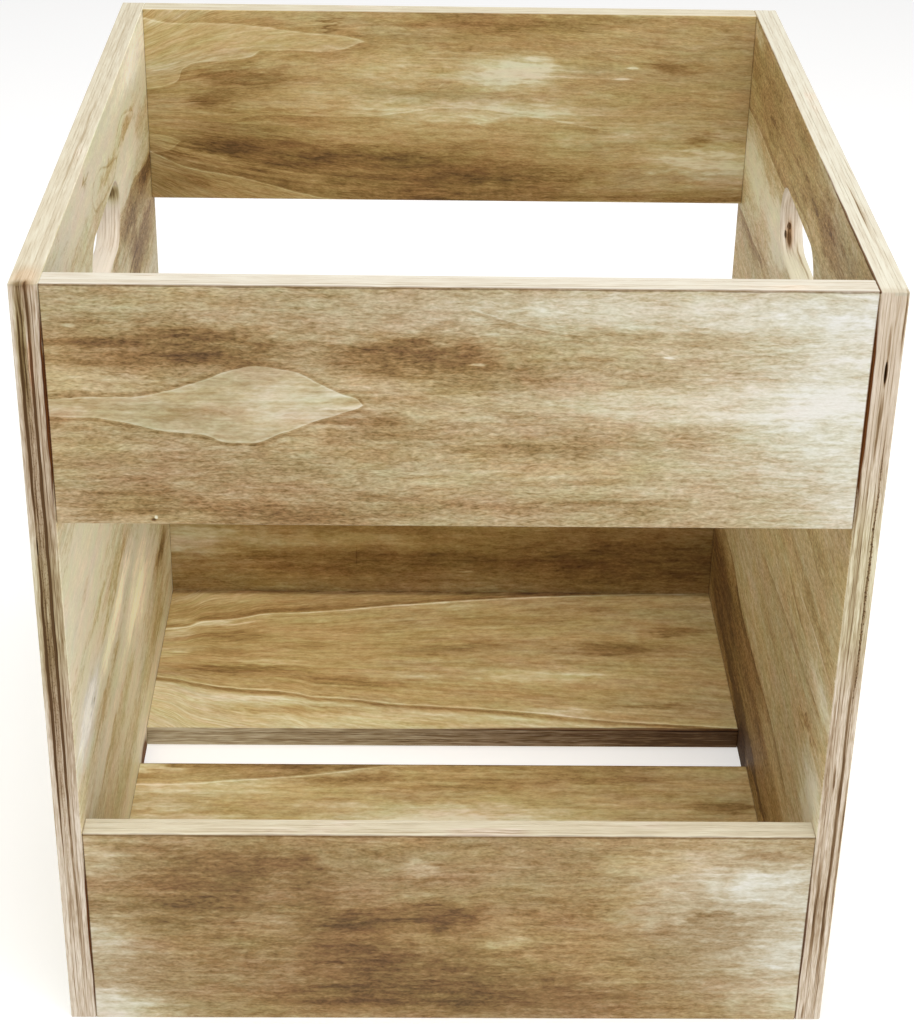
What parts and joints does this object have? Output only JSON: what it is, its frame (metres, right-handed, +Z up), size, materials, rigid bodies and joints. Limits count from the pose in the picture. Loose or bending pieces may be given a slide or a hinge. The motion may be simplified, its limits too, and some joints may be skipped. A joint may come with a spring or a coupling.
{
  "type": "record crate",
  "caption": "Open-topped plywood crate for vinyl records, with hand holes in its side panels, slatted front and back, and a base of boards with a gap between them.",
  "frame": {"origin": "centre of the base on the floor", "axes": "+X to the right seen from the front, +Y towards the back, +Z up"},
  "size_m": [0.36, 0.38, 0.384],
  "materials": {
    "plywood": "plywood with an uneven brown wash, matt",
    "screw_steel": "zinc-plated steel",
    "dowel_beech": "bare beech"
  },
  "bodies": {
    "root": {"left_side_panel": "plywood", "right_side_panel": "plywood", "front_upper_slat": "plywood", "front_lower_slat": "plywood", "back_upper_slat": "plywood", "back_lower_slat": "plywood", "rear_base_board": "plywood", "front_base_board": "plywood", "front_upper_screws": "screw_steel", "front_lower_screws": "screw_steel", "back_upper_screws": "screw_steel", "back_lower_screws": "screw_steel", "rear_base_screws": "screw_steel", "front_base_screws": "screw_steel", "front_upper_dowels": "dowel_beech", "front_lower_dowels": "dowel_beech", "back_upper_dowels": "dowel_beech", "back_lower_dowels": "dowel_beech", "rear_base_dowels": "dowel_beech", "front_base_dowels": "dowel_beech"}
  },
  "joints": []
}
